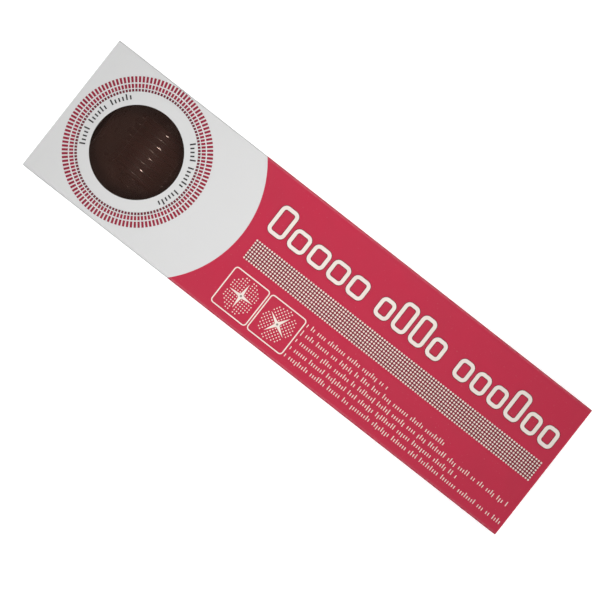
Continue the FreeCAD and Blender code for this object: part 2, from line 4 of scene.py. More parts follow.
import bmesh
import bpy
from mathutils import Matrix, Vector


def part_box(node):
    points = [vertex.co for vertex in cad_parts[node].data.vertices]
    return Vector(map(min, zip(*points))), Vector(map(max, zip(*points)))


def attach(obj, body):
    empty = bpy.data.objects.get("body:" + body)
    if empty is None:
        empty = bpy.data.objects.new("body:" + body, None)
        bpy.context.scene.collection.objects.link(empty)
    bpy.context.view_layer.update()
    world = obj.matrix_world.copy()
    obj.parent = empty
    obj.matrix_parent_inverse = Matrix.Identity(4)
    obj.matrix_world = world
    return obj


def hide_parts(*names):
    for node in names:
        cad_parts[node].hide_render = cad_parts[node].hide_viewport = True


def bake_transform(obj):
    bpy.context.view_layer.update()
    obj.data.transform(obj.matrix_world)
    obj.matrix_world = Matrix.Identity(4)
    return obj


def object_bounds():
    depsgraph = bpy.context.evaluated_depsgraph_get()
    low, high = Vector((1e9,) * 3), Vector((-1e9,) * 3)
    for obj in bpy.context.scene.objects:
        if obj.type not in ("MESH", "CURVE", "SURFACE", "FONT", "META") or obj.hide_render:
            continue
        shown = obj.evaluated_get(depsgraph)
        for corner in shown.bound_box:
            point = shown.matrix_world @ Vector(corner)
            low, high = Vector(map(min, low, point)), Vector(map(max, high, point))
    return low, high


# The looks of a boxed derma roller: a printed folding carton with creased board, its
# window film, the storage case and the needle roller inside it.
# Lengths in this script are millimetres; MM turns them into Blender's metres.

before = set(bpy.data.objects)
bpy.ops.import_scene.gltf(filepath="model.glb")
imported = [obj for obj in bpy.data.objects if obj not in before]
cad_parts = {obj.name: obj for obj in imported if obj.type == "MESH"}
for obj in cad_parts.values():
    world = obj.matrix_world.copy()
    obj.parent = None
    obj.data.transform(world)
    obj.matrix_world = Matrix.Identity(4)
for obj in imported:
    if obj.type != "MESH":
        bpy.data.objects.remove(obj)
cad_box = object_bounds()

MM = 0.001
BOARD = 0.45          # thickness of the carton's board
FOLD = 0.9            # outer radius of the creases along the carton
END_FOLD = 0.5        # outer radius of the creases at its ends
FLAP_FOLD = 0.35      # outer radius of the dust flaps' creases
INK = 0.02            # how far print stands on the board

HALF_LENGTH, HALF_WIDTH, DEPTH = (corner / MM for corner in cad_box[1])
SIDE_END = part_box("upper_side_panel")[1].x / MM

# Print layout on the front panel, from the panel's middle, X to the right and Y up.
WINDOW = (-68.9, 0.3)
WINDOW_RADIUS = 15.1
BLANK = (-64.05, 0.72)      # middle of the white zone's rounded end
BLANK_RADIUS = 37.4
RING = (-68.75, 0.6)        # middle of the ring of ticks
TICKS = 120                 # in each ring


# ---------------------------------------------------------------- materials


def new_material(name):
    material = bpy.data.materials.new(name)
    material.use_nodes = True
    nodes = material.node_tree.nodes
    nodes.clear()
    return material, nodes, material.node_tree.links


def add_node(nodes, kind, **settings):
    node = nodes.new(kind)
    for key, value in settings.items():
        if key in node.inputs:
            node.inputs[key].default_value = value
        else:
            setattr(node, key, value)
    return node


def math_node(nodes, links, operation, first, second=None):
    """One arithmetic step; each operand is a socket or a number."""
    node = nodes.new("ShaderNodeMath")
    node.operation = operation
    for socket, value in zip(node.inputs, (first, second)):
        if isinstance(value, (int, float)):
            socket.default_value = value
        elif value is not None:
            links.new(value, socket)
    return node.outputs[0]


def mix_colours(nodes, links, factor, first, second, blend="MIX"):
    """A colour between two; each operand is a socket, a number or a colour."""
    node = nodes.new("ShaderNodeMix")
    node.data_type = "RGBA"
    node.blend_type = blend
    sockets = (node.inputs[0], node.inputs[6], node.inputs[7])
    for socket, value in zip(sockets, (factor, first, second)):
        if isinstance(value, (int, float, tuple)):
            socket.default_value = value
        else:
            links.new(value, socket)
    return node.outputs[2]


def noise(nodes, links, place, scale, detail=3.0, rough=0.55):
    node = add_node(nodes, "ShaderNodeTexNoise", Scale=scale, Detail=detail, Roughness=rough)
    links.new(place, node.inputs["Vector"])
    return node.outputs["Fac"]


def spread(nodes, links, value, low, high):
    """A value from about 0..1 brought into low..high."""
    node = add_node(nodes, "ShaderNodeMapRange")
    node.inputs["From Min"].default_value = 0.3
    node.inputs["From Max"].default_value = 0.7
    node.inputs["To Min"].default_value = low
    node.inputs["To Max"].default_value = high
    links.new(value, node.inputs["Value"])
    return node.outputs["Result"]


def bump(nodes, links, height, strength, distance):
    node = add_node(nodes, "ShaderNodeBump", Strength=strength, Distance=distance)
    links.new(height, node.inputs["Height"])
    return node.outputs["Normal"]


def drift(nodes, links, cloud, first, second):
    """A colour that wanders between two with the cloud."""
    return mix_colours(nodes, links, spread(nodes, links, cloud, 0.0, 1.0), first, second)


def object_place(nodes):
    return nodes.new("ShaderNodeTexCoord").outputs["Object"]


def finish_material(material, nodes, links, shader):
    """Join the shader to the material's output."""
    output = nodes.new("ShaderNodeOutputMaterial")
    links.new(shader.outputs[0], output.inputs[0])
    return material


def srgb(red, green, blue):
    """A colour given as 0..255 screen values, in Blender's linear light."""
    linear = []
    for value in (red, green, blue):
        v = value / 255
        linear.append(v / 12.92 if v <= 0.04045 else ((v + 0.055) / 1.055) ** 2.4)
    return (*linear, 1)


WHITE_BOARD = srgb(199, 199, 199)
CRIMSON = srgb(174, 18, 55)
BARE_BOARD = srgb(196, 191, 182)
BOARD_CORE = srgb(188, 182, 170)


def print_mask(nodes, links, place):
    """1 where the board is printed crimson: beyond the white zone's round end on the front and
    the back, and beyond a straight edge on the sides."""
    split = nodes.new("ShaderNodeSeparateXYZ")
    links.new(place, split.inputs[0])
    across = math_node(nodes, links, "SUBTRACT", split.outputs["Y"], BLANK[1] * MM)
    across = math_node(nodes, links, "ABSOLUTE", across)
    square = math_node(nodes, links, "MULTIPLY", across, across)
    rest = math_node(nodes, links, "SUBTRACT", (BLANK_RADIUS * MM) ** 2, square)
    reach = math_node(nodes, links, "SQRT", math_node(nodes, links, "MAXIMUM", rest, 0.0))
    edge = math_node(nodes, links, "ADD", reach, BLANK[0] * MM)
    return math_node(nodes, links, "GREATER_THAN", split.outputs["X"], edge)


def fold_wear(nodes, links, place):
    """How worn the ink is: most on the long creases, none away from them."""
    split = nodes.new("ShaderNodeSeparateXYZ")
    links.new(place, split.inputs[0])
    side = math_node(nodes, links, "ABSOLUTE", split.outputs["Y"])
    side = math_node(nodes, links, "SUBTRACT", HALF_WIDTH * MM, side)
    middle = math_node(nodes, links, "SUBTRACT", split.outputs["Z"], DEPTH / 2 * MM)
    middle = math_node(nodes, links, "ABSOLUTE", middle)
    height = math_node(nodes, links, "SUBTRACT", DEPTH / 2 * MM, middle)
    away = math_node(nodes, links, "MAXIMUM", side, height)
    full, none = 0.15, 0.75     # distances from the crease
    ramp = add_node(nodes, "ShaderNodeMapRange")
    ramp.inputs["From Min"].default_value = full * MM
    ramp.inputs["From Max"].default_value = none * MM
    ramp.inputs["To Min"].default_value = 1.0
    ramp.inputs["To Max"].default_value = 0.0
    links.new(away, ramp.inputs["Value"])
    cracks = spread(nodes, links, noise(nodes, links, place, 1400, 4), -0.2, 1.0)
    return math_node(nodes, links, "MULTIPLY", ramp.outputs["Result"], cracks)


def board_material(name, printed):
    """Coated folding board: white, or white and crimson, with fine fibre and gloss mottle."""
    material, nodes, links = new_material(name)
    place = object_place(nodes)
    gloss = {"Coat Weight": 0.08, "Coat Roughness": 0.28, "Specular IOR Level": 0.3}
    shader = add_node(nodes, "ShaderNodeBsdfPrincipled", **gloss)
    cloud = noise(nodes, links, place, 90, 4)
    grain = noise(nodes, links, place, 1900, 2)
    greyness = spread(nodes, links, cloud, 0.0, 0.05)
    paper = mix_colours(nodes, links, greyness, WHITE_BOARD, BARE_BOARD)
    colour = paper
    if printed:
        speck_strength, wear_strength = 0.1, 0.22
        deep = tuple(v * 0.9 for v in CRIMSON[:3]) + (1,)
        density = spread(nodes, links, cloud, 0.0, 0.55)
        ink = mix_colours(nodes, links, density, CRIMSON, deep)
        speck = math_node(nodes, links, "GREATER_THAN", grain, 0.71)
        speck = math_node(nodes, links, "MULTIPLY", speck, speck_strength)
        ink = mix_colours(nodes, links, speck, ink, WHITE_BOARD)
        colour = mix_colours(nodes, links, print_mask(nodes, links, place), paper, ink)
        wear = math_node(nodes, links, "MULTIPLY", fold_wear(nodes, links, place), wear_strength)
        colour = mix_colours(nodes, links, wear, colour, BARE_BOARD)
    links.new(colour, shader.inputs["Base Color"])
    links.new(spread(nodes, links, cloud, 0.36, 0.46), shader.inputs["Roughness"])
    links.new(bump(nodes, links, grain, 0.12, 0.03 * MM), shader.inputs["Normal"])
    return finish_material(material, nodes, links, shader)


def fibre_material(name, colour, dark):
    """Uncoated board, for the carton's inside and its cut edges."""
    material, nodes, links = new_material(name)
    place = object_place(nodes)
    shader = add_node(nodes, "ShaderNodeBsdfPrincipled")
    fibres = noise(nodes, links, place, 2600, 5, 0.7)
    patches = noise(nodes, links, place, 160, 3)
    amount = math_node(nodes, links, "MULTIPLY", fibres, patches)
    amount = spread(nodes, links, amount, 0.9, 0.1)
    links.new(mix_colours(nodes, links, amount, dark, colour), shader.inputs["Base Color"])
    links.new(spread(nodes, links, fibres, 0.82, 0.94), shader.inputs["Roughness"])
    links.new(bump(nodes, links, fibres, 0.35, 0.05 * MM), shader.inputs["Normal"])
    return finish_material(material, nodes, links, shader)


def ink_material(name, colour, other, roughness=0.42):
    """Printed ink: a colour with a slight, fine unevenness."""
    material, nodes, links = new_material(name)
    place = object_place(nodes)
    gloss = {"Coat Weight": 0.08, "Coat Roughness": 0.3, "Specular IOR Level": 0.3}
    shader = add_node(nodes, "ShaderNodeBsdfPrincipled", **gloss)
    cloud = noise(nodes, links, place, 240, 4)
    grain = noise(nodes, links, place, 1900, 2)
    links.new(drift(nodes, links, cloud, colour, other), shader.inputs["Base Color"])
    mottle = spread(nodes, links, grain, roughness - 0.04, roughness + 0.06)
    links.new(mottle, shader.inputs["Roughness"])
    return finish_material(material, nodes, links, shader)


def plastic_material(name, colour, other, roughness, speckle=600):
    """Moulded plastic with a fine skin texture and slight colour drift."""
    material, nodes, links = new_material(name)
    place = object_place(nodes)
    shader = add_node(nodes, "ShaderNodeBsdfPrincipled")
    cloud = noise(nodes, links, place, 60, 3)
    skin = noise(nodes, links, place, speckle, 3)
    links.new(drift(nodes, links, cloud, colour, other), shader.inputs["Base Color"])
    mottle = spread(nodes, links, skin, roughness - 0.05, roughness + 0.07)
    links.new(mottle, shader.inputs["Roughness"])
    links.new(bump(nodes, links, skin, 0.03, 0.04 * MM), shader.inputs["Normal"])
    return finish_material(material, nodes, links, shader)


def steel_material():
    material, nodes, links = new_material("polished_steel")
    place = object_place(nodes)
    shader = add_node(nodes, "ShaderNodeBsdfPrincipled", Metallic=1.0)
    cloud = noise(nodes, links, place, 300, 4)
    brush = noise(nodes, links, place, 2400, 2)
    colour = drift(nodes, links, cloud, srgb(152, 150, 147), srgb(130, 128, 126))
    links.new(colour, shader.inputs["Base Color"])
    links.new(spread(nodes, links, brush, 0.1, 0.18), shader.inputs["Roughness"])
    return finish_material(material, nodes, links, shader)


def clear_material(name, tint, other, gloss, ripple, haze=0.0, haze_colour=(0, 0, 0, 1)):
    """A clear sheet or wall: light passes straight through and takes its tint, with a gloss
    that grows at low angles, a slight ripple in it, and a share of cloudy colour."""
    material, nodes, links = new_material(name)
    place = object_place(nodes)
    through = add_node(nodes, "ShaderNodeBsdfTransparent")
    cloud = noise(nodes, links, place, 45, 3)
    links.new(drift(nodes, links, cloud, tint, other), through.inputs["Color"])
    cloudy = add_node(nodes, "ShaderNodeBsdfDiffuse", Color=haze_colour, Roughness=0.5)
    body = nodes.new("ShaderNodeMixShader")
    patches = noise(nodes, links, place, 90, 3)
    links.new(spread(nodes, links, patches, haze * 0.8, haze * 1.2), body.inputs[0])
    links.new(through.outputs[0], body.inputs[1])
    links.new(cloudy.outputs[0], body.inputs[2])
    mirror = add_node(nodes, "ShaderNodeBsdfGlossy", Roughness=0.08)
    waves = noise(nodes, links, place, 70, 2)
    links.new(bump(nodes, links, waves, ripple, 0.5 * MM), mirror.inputs["Normal"])
    fresnel = add_node(nodes, "ShaderNodeFresnel", IOR=1.45)
    amount = math_node(nodes, links, "MULTIPLY", fresnel.outputs[0], gloss)
    mix = nodes.new("ShaderNodeMixShader")
    links.new(amount, mix.inputs[0])
    links.new(body.outputs[0], mix.inputs[1])
    links.new(mirror.outputs[0], mix.inputs[2])
    return finish_material(material, nodes, links, mix)


PRINTED = board_material("printed_board", True)
PLAIN = board_material("plain_coated_board", False)
INSIDE = fibre_material("board_inside", srgb(205, 202, 196), srgb(176, 170, 160))
CUT_EDGE = fibre_material("board_cut_edge", BOARD_CORE, srgb(150, 142, 130))
WHITE_INK = ink_material("white_print", srgb(222, 211, 203), srgb(214, 203, 195))
TICK_INK = ink_material("crimson_print", srgb(141, 10, 46), srgb(130, 9, 41))
DEEP_INK = ink_material("deep_crimson_print", srgb(100, 8, 34), srgb(90, 8, 30))
BAND_INK = ink_material("band_print", srgb(122, 9, 37), srgb(112, 8, 33))
DARK_INK = ink_material("dark_print", srgb(36, 32, 34), srgb(48, 43, 45))
GREY_INK = ink_material("grey_print", srgb(138, 128, 122), srgb(122, 112, 108))
FILM = clear_material("window_film", (0.95, 0.94, 0.93, 1), (0.93, 0.92, 0.91, 1), 0.4, 0.1)
SMOKE = clear_material(
    "smoke_plastic", (0.91, 0.87, 0.85, 1), (0.88, 0.83, 0.81, 1), 0.3, 0.12,
    haze=0.15, haze_colour=srgb(110, 74, 63)
)
BLACK = plastic_material("black_plastic", srgb(44, 32, 28), srgb(52, 38, 33), 0.3)
DRUM = plastic_material("drum_plastic", srgb(46, 27, 28), srgb(56, 33, 34), 0.38)
HANDLE = plastic_material("handle_plastic", srgb(24, 23, 24), srgb(32, 30, 31), 0.18, 300)
RUBBER = plastic_material("grip_rubber", srgb(36, 35, 36), srgb(46, 44, 45), 0.75, 1500)
ACCENT = plastic_material("accent_plastic", srgb(176, 44, 70), srgb(160, 38, 62), 0.2, 300)
STEEL = steel_material()


# ---------------------------------------------------------------- mesh helpers


def make_object(name, mesh):
    piece = bpy.data.objects.new(name, mesh)
    bpy.context.scene.collection.objects.link(piece)
    return piece


def apply_modifiers(piece):
    """Turn the piece's modifiers into its mesh."""
    bpy.context.view_layer.update()
    depsgraph = bpy.context.evaluated_depsgraph_get()
    mesh = bpy.data.meshes.new_from_object(piece.evaluated_get(depsgraph))
    piece.modifiers.clear()
    piece.data = mesh
    return piece


def thicken(piece, outer):
    """Give a sheet mesh the board's thickness, inwards, with its own inside and cut edges."""
    for material in (outer, INSIDE, CUT_EDGE):
        piece.data.materials.append(material)
    solid = piece.modifiers.new("board", "SOLIDIFY")
    solid.thickness = BOARD * MM
    solid.offset = -1
    solid.use_even_offset = True
    solid.material_offset = 1
    solid.material_offset_rim = 2
    apply_modifiers(piece)
    piece.data.shade_smooth()
    piece.data.set_sharp_from_angle(angle=math.radians(35))
    return piece


def sheet_from_rows(name, rows, outer):
    """Board through a grid of points, given as rows of (x, y, z) in millimetres.

    Its printed side faces away from the carton's middle."""
    mesh = bmesh.new()
    grid = [[mesh.verts.new(Vector(point) * MM) for point in row] for row in rows]
    for first, second in zip(grid, grid[1:]):
        for a, b, c, d in zip(first, first[1:], second[1:], second):
            mesh.faces.new((a, b, c, d))
    mesh.normal_update()
    middle = Vector((0, 0, DEPTH / 2)) * MM
    outward = sum((face.calc_center_median() - middle).dot(face.normal) for face in mesh.faces)
    if outward < 0:
        bmesh.ops.reverse_faces(mesh, faces=mesh.faces)
    data = bpy.data.meshes.new(name)
    mesh.to_mesh(data)
    mesh.free()
    return thicken(make_object(name, data), outer)


def arc(middle, radius, start, end, steps):
    """Points on an arc, angles in degrees, both ends included."""
    turns = [math.radians(start + (end - start) * i / steps) for i in range(steps + 1)]
    return [(middle[0] + radius * math.cos(t), middle[1] + radius * math.sin(t)) for t in turns]


def spaced(low, high, steps):
    return [low + (high - low) * i / steps for i in range(steps + 1)]


# ---------------------------------------------------------------- carton sleeve


def sleeve_contour():
    """The carton's outer section, from the front panel's upper edge round to its lower edge.

    Each entry is (y, z, half length): side panels end at the flap creases."""
    turn = 6
    side = [(HALF_WIDTH, z, SIDE_END - FLAP_FOLD) for z in spaced(DEPTH - FOLD, FOLD, 6)]
    corner_top = arc((HALF_WIDTH - FOLD, DEPTH - FOLD), FOLD, 90, 0, turn)
    corner_low = arc((HALF_WIDTH - FOLD, FOLD), FOLD, 0, -90, turn)
    upper = [(y, z, HALF_LENGTH) for y, z in corner_top[:-1]] + side
    upper += [(y, z, HALF_LENGTH - END_FOLD) for y, z in corner_low[1:]]
    across = spaced(HALF_WIDTH - FOLD, FOLD - HALF_WIDTH, 8)[1:-1]
    back = [(y, 0, HALF_LENGTH - END_FOLD) for y in across]
    lower = [(-y, z, half) for y, z, half in reversed(upper)]
    return upper + back + lower


def make_sleeve():
    """The four long panels and their creases as one sheet of board, with the window cut out."""
    mesh = bmesh.new()
    columns = 38
    rows = []
    for y, z, half in sleeve_contour():
        rows.append([mesh.verts.new(Vector((x, y, z)) * MM) for x in spaced(-half, half, columns)])
    for first, second in zip(rows, rows[1:]):
        for a, b, c, d in zip(first, first[1:], second[1:], second):
            mesh.faces.new((a, b, c, d))
    around = 128
    across = 10
    hole = []
    for x, y in arc(WINDOW, WINDOW_RADIUS, 0, 360, around)[:-1]:
        hole.append(mesh.verts.new(Vector((x, y, DEPTH)) * MM))
    edges = [mesh.edges.new((a, b)) for a, b in zip(hole, hole[1:] + hole[:1])]
    top, low = rows[0], rows[-1]
    sides = []
    for end in (0, -1):
        chain = [top[end]]
        for step in range(1, across):
            spot = top[end].co.lerp(low[end].co, step / across)
            chain.append(mesh.verts.new(spot))
        chain.append(low[end])
        sides += [mesh.edges.new(pair) for pair in zip(chain, chain[1:])]
    for row in (top, low):
        edges += [mesh.edges.get(pair) for pair in zip(row, row[1:])]
    bmesh.ops.triangle_fill(mesh, edges=edges + sides, use_beauty=True, normal=(0, 0, 1))
    bmesh.ops.recalc_face_normals(mesh, faces=mesh.faces)
    data = bpy.data.meshes.new("carton_sleeve")
    mesh.to_mesh(data)
    mesh.free()
    sleeve = thicken(make_object("carton_sleeve", data), PRINTED)
    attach(sleeve, "carton")
    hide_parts("front_panel", "back_panel", "upper_side_panel", "lower_side_panel")
    return sleeve


# ---------------------------------------------------------------- tuck ends


LID_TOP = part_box("plain_end_lid")[1].z / MM
LID_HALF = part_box("plain_end_lid")[1].y / MM
TONGUE_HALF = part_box("plain_end_tongue")[1].y / MM
TONGUE_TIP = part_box("plain_end_tongue")[0].x / MM
TONGUE_SLOPE = math.radians(16)
TONGUE_ROUND = 5      # radius of the tongue's free corners
FLAP_MITRE = math.radians(42)
FLAP_CUT_LENGTH = 3   # how far the flap's top corner is cut back, along it and down it
FLAP_CUT_DEPTH = 4


def make_lid(end, side):
    """A lid with its crease, which turns up from the back panel's end, to below the tongue."""
    middle = (HALF_LENGTH - END_FOLD, END_FOLD)
    path = arc(middle, END_FOLD, -90, 0, 8)
    top = LID_TOP - END_FOLD
    path += [(HALF_LENGTH, z) for z in spaced(END_FOLD, top, 12)[1:]]
    rows = []
    for x, z in path:
        rows.append([(side * x, y, z) for y in spaced(-LID_HALF, LID_HALF, 16)])
    lid = sheet_from_rows(f"{end}_lid_board", rows, PRINTED)
    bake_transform(lid)
    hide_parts(f"{end}_lid")
    return lid


def make_tongue(end, side):
    """A tongue with its crease: from the lid's top it turns in and slopes down."""
    middle = (HALF_LENGTH - END_FOLD, LID_TOP - END_FOLD)
    slope = math.degrees(TONGUE_SLOPE)
    path = arc(middle, END_FOLD, 0, 90 + slope, 9)
    last_x, last_z = path[-1]
    length = (last_x - TONGUE_TIP) / math.cos(TONGUE_SLOPE)
    spots = []
    for index, (x, z) in enumerate(path):
        ease = index / (len(path) - 1)
        spots.append((x, z, LID_HALF + (TONGUE_HALF - LID_HALF) * ease))
    for along in spaced(0, length, 14)[1:]:
        over = max(along - (length - TONGUE_ROUND), 0)
        trim = TONGUE_ROUND - math.sqrt(max(TONGUE_ROUND ** 2 - over ** 2, 0))
        x = last_x - along * math.cos(TONGUE_SLOPE)
        z = last_z - along * math.sin(TONGUE_SLOPE)
        spots.append((x, z, TONGUE_HALF - trim))
    rows = [[(side * x, y, z) for y in spaced(-half, half, 16)] for x, z, half in spots]
    tongue = sheet_from_rows(f"{end}_tongue_board", rows, PLAIN)
    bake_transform(tongue)
    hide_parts(f"{end}_tongue")
    return tongue


def make_flap(end, side, level, way):
    """A dust flap with its crease, its lower edge mitred and its top corner cut back."""
    low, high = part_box(f"{end}_{level}_dust_flap")
    bottom, top = low.z / MM, high.z / MM
    reach = HALF_WIDTH - min(abs(low.y), abs(high.y)) / MM
    rise = (reach - BOARD) * math.tan(FLAP_MITRE)
    middle = (SIDE_END - FLAP_FOLD, HALF_WIDTH - FLAP_FOLD)
    path = arc(middle, FLAP_FOLD, 90, 0, 6)
    path += [(SIDE_END, HALF_WIDTH - along) for along in spaced(FLAP_FOLD, reach, 16)[1:]]
    rows = []
    for x, y in path:
        along = HALF_WIDTH - y
        lift = max(along - BOARD, 0) / (reach - BOARD)
        notch = max(along - (reach - FLAP_CUT_LENGTH), 0) / FLAP_CUT_LENGTH
        foot = bottom + rise * lift
        head = top - FLAP_CUT_DEPTH * notch
        rows.append([(side * x, way * y, z) for z in spaced(foot, head, 10)])
    flap = sheet_from_rows(f"{end}_{level}_flap_board", rows, PLAIN)
    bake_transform(flap)
    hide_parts(f"{end}_{level}_dust_flap")
    return flap


# ---------------------------------------------------------------- print


def front(x, y, h):
    """A place on the front panel, h above its face."""
    return Vector((x, y, DEPTH + h)) * MM


def side_panel(way):
    """A place on a long side: x along it and y up from its middle towards the front."""
    return lambda x, y, h: Vector((x, way * (HALF_WIDTH + h), DEPTH / 2 + y)) * MM


def back(x, y, h):
    """A place on the back panel, h below its face; y runs up when the carton is turned over."""
    return Vector((x, -y, -h)) * MM


def turned_by(points, turn, middle=(0, 0)):
    """Points turned about the origin by degrees, then moved to a middle."""
    c, s = math.cos(math.radians(turn)), math.sin(math.radians(turn))
    return [(middle[0] + x * c - y * s, middle[1] + x * s + y * c) for x, y in points]


def rounded_box(middle, width, height, corner, steps=4):
    """A rounded rectangle's outline, anticlockwise from its right side."""
    points = []
    for index, (right, up) in enumerate(((1, 1), (-1, 1), (-1, -1), (1, -1))):
        spot = (middle[0] + right * (width / 2 - corner), middle[1] + up * (height / 2 - corner))
        points += arc(spot, corner, 90 * index, 90 * index + 90, steps)
    return points


def ring_shape(middle, width, height, corner, line, steps=5):
    """The outline of a rounded rectangle as an outer and an inner loop."""
    outer = rounded_box(middle, width, height, corner, steps)
    inner_corner = max(corner - line, 0.05)
    inner = rounded_box(middle, width - 2 * line, height - 2 * line, inner_corner, steps)
    return outer, inner


def stamp(name, shapes, material, place, body, height=INK):
    """Print as thin closed solids: each shape is an outline, or an outer and an inner loop.

    A solid starts just inside the board and stands height above it."""
    mesh = bmesh.new()
    along, up, out = (place(*axis) - place(0, 0, 0) for axis in ((1, 0, 0), (0, 1, 0), (0, 0, 1)))
    mirrored = along.cross(up).dot(out) < 0
    for shape in shapes:
        loops = shape if isinstance(shape[0][0], tuple) else (shape,)
        levels = []
        for loop in loops:
            if mirrored:
                loop = loop[::-1]
            for h in (-INK, height):
                levels.append([mesh.verts.new(place(x, y, h)) for x, y in loop])
        count = len(loops[0])
        low, high = levels[:2]
        for i in range(count):
            j = (i + 1) % count
            mesh.faces.new((low[i], low[j], high[j], high[i]))
        if len(loops) == 1:
            mesh.faces.new(high)
            mesh.faces.new(low[::-1])
            continue
        outer_low, outer_high, inner_low, inner_high = levels
        for i in range(count):
            j = (i + 1) % count
            mesh.faces.new((inner_low[j], inner_low[i], inner_high[i], inner_high[j]))
            mesh.faces.new((outer_high[i], outer_high[j], inner_high[j], inner_high[i]))
            mesh.faces.new((outer_low[j], outer_low[i], inner_low[i], inner_low[j]))
    data = bpy.data.meshes.new(name)
    mesh.to_mesh(data)
    mesh.free()
    data.materials.append(material)
    piece = make_object(name, data)
    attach(piece, body)
    return piece


def radial_bar(middle, turn, low, high, width):
    """A small bar that points away from a middle, between two radii."""
    corners = [(low, -width / 2), (high, -width / 2), (high, width / 2), (low, width / 2)]
    return turned_by(corners, turn, middle)


def print_ticks():
    """Three rings of ticks round the window: long, short and dots."""
    # Each ring's name, inner and outer radius, the width of its bars, and its ink.
    rings = (
        ("long_ticks", 22.05, 24.0, 0.75, TICK_INK),
        ("short_ticks", 20.3, 21.65, 0.74, TICK_INK),
        ("dots", 19.15, 20.0, 0.72, DEEP_INK),
    )
    for name, low, high, width, ink in rings:
        bars = [radial_bar(RING, 360 * index / TICKS, low, high, width) for index in range(TICKS)]
        stamp(f"print_window_{name}", bars, ink, front, "carton")


def print_window_dashes():
    """Two curved rows of short dashes inside the ticks, in groups like words."""
    words = (5, 6, 6)
    low, short, tall, width = 16.75, 18.1, 18.65, 0.5
    slots = sum(words) + len(words) - 1
    rows = ((211, 133), (48, -31))      # degrees at which each row starts and ends
    dashes = []
    for start, end in rows:
        slot = 0
        for word in words:
            for letter in range(word):
                turn = start + (end - start) * (slot + 0.5) / slots
                high = tall if letter % 4 == 0 else short
                dashes.append(radial_bar(RING, turn, low, high, width))
                slot += 1
            slot += 1
    stamp("print_window_dashes", dashes, DARK_INK, front, "carton")


def print_title():
    """Three groups of plain outlined blocks, where a carton has its title."""
    foot, waist, head = 6.25, 13.4, 16.75
    gap, line, corner = 1.3, 1.25, 2.0
    # Each group's left and right ends, its number of blocks, and which of them are tall.
    groups = ((-21.9, 16.0, 5, (0,)), (20.75, 47.0, 4, (1, 2)), (52.4, 92.0, 6, (3,)))
    edge = 0.24
    blocks, edges = [], []
    for left, right, count, tall in groups:
        width = (right - left - gap * (count - 1)) / count
        for index in range(count):
            top = head if index in tall else waist
            middle = (left + width / 2 + index * (width + gap), (foot + top) / 2)
            height = top - foot
            blocks.append(ring_shape(middle, width, height, corner, line))
            size = (width + 2 * edge, height + 2 * edge)
            edges.append(ring_shape(middle, *size, corner + edge, line + 2 * edge))
    stamp("print_title_edges", edges, DEEP_INK, front, "carton", height=INK / 2)
    stamp("print_title_blocks", blocks, WHITE_INK, front, "carton")


def dot_rows(left, right, low, high, rows, pitch, size):
    """A band of small rounded dots."""
    columns = round((right - left) / pitch)
    dots = []
    for row in range(rows):
        y = low + (high - low) * (row + 0.5) / rows
        for column in range(columns):
            x = left + (right - left) * (column + 0.5) / columns
            dots.append(rounded_box((x, y), size, size, size * 0.3, 1))
    return dots


def print_dot_bands():
    """A band of dots on a darker strip, on the front and along both sides."""
    left, right, width = -22.1, 93.0, 7.75
    rows, pitch, dot = 8, 0.98, 0.6
    inset, corner = 0.5, 0.2
    sides = (("upper_side", 0, side_panel(1)), ("lower_side", 0, side_panel(-1)))
    for name, middle, place in (("front", -1.43, front), *sides):
        low, high = middle - width / 2, middle + width / 2
        dots = dot_rows(left, right, low, high, rows, pitch, dot)
        centre = ((left + right) / 2, middle)
        strip = rounded_box(centre, right - left - inset, width - inset, corner)
        stamp(f"print_{name}_strip", [strip], BAND_INK, place, "carton", height=INK / 2)
        stamp(f"print_{name}_dots", dots, WHITE_INK, place, "carton")


def star(middle, turn):
    """The outline of a star with four thin pointed arms and a small round body."""
    tip, shoulder, waist = 4.7, 1.05, 0.85
    corners = []
    for start in (0, 90, 180, 270):
        corners += [(tip, start), (shoulder, start + 27)]
        corners += [(waist, start + 45), (shoulder, start + 63)]
    points = [(r * math.cos(math.radians(a)), r * math.sin(math.radians(a))) for r, a in corners]
    return turned_by(points, turn, middle)


def print_pictograms():
    """Two framed pictures of a star on a patch of dots, the second one turned."""
    # Each frame's middle and width, its star's middle, and the star's turn in degrees.
    frames = ((-14.93, 13.95, -14.86, 0), (-0.4, 14.2, -0.3, -30))
    low, high, centre_y = -22.2, -8.2, -15.1
    corner, line = 1.2, 0.38
    pitch_x, pitch_y = 0.95, 0.93
    dot = rounded_box((0, 0), 0.4, 0.4, 0.12, 1)
    hub = rounded_box((0, 0), 0.75, 0.75, 0.36, 3)
    white, grey = [], []
    for frame_x, width, centre_x, turn in frames:
        white.append(ring_shape((frame_x, (low + high) / 2), width, high - low, corner, line))
        centre = (centre_x, centre_y)
        for column in range(-5, 6):
            for row in range(-6, 7):
                under_arm = column == 0 or row == 0
                outside = abs(column) + abs(row) > 8
                if under_arm or outside:
                    continue
                spot = turned_by([(column * pitch_x, row * pitch_y)], turn, centre)[0]
                white.append(turned_by(dot, turn, spot))
        white.append(star(centre, turn))
        grey.append(turned_by(hub, turn, centre))
    stamp("print_pictograms", white, WHITE_INK, front, "carton")
    stamp("print_pictogram_hubs", grey, GREY_INK, front, "carton", height=INK * 2)


def dashed_line(left, right, foot, pitch, chance):
    """A row of thin upright strokes in groups, which stands for a line of small print."""
    short, tall, width, corner = 1.1, 1.65, 0.27, 0.1
    strokes = []
    x = left
    while x < right:
        for _ in range(chance.randint(2, 9)):
            if x > right:
                break
            height = chance.choice((short, short, short, tall))
            drop = 0.4 if chance.random() < 0.08 else 0
            middle = (x, foot + (height - drop) / 2)
            strokes.append(rounded_box(middle, width, height + drop, corner, 1))
            x += pitch
        x += pitch
    return strokes


